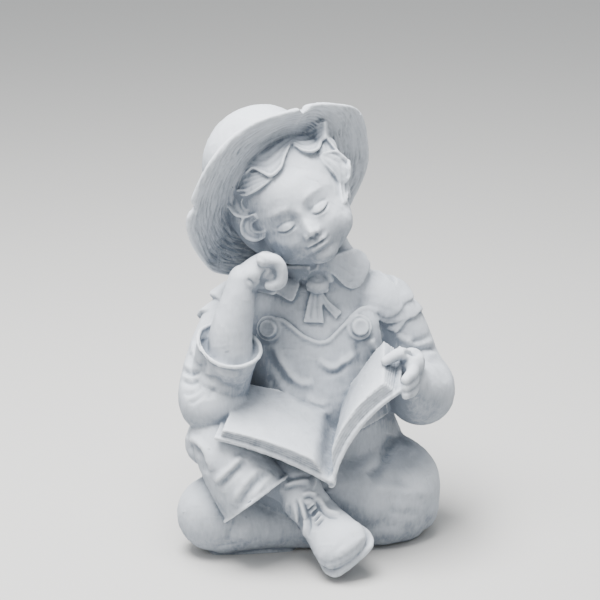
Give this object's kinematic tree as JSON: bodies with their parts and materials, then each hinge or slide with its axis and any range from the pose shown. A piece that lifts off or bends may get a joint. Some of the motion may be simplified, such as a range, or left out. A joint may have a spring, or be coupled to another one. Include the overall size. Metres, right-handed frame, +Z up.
{
  "type": "garden statue",
  "caption": "Cast stone garden figure of a boy in a straw hat who sits cross-legged with an open book and rests his head on his fist.",
  "frame": {"origin": "on the ground plane under the seat, where the flat underside rests", "axes": "+Z up, the figure faces -Y, +X to the viewer's right"},
  "size_m": [0.3699, 0.3228, 0.59],
  "materials": {
    "cast_stone": "matt"
  },
  "bodies": {
    "root": {"boy_with_book": "cast_stone"}
  },
  "joints": []
}
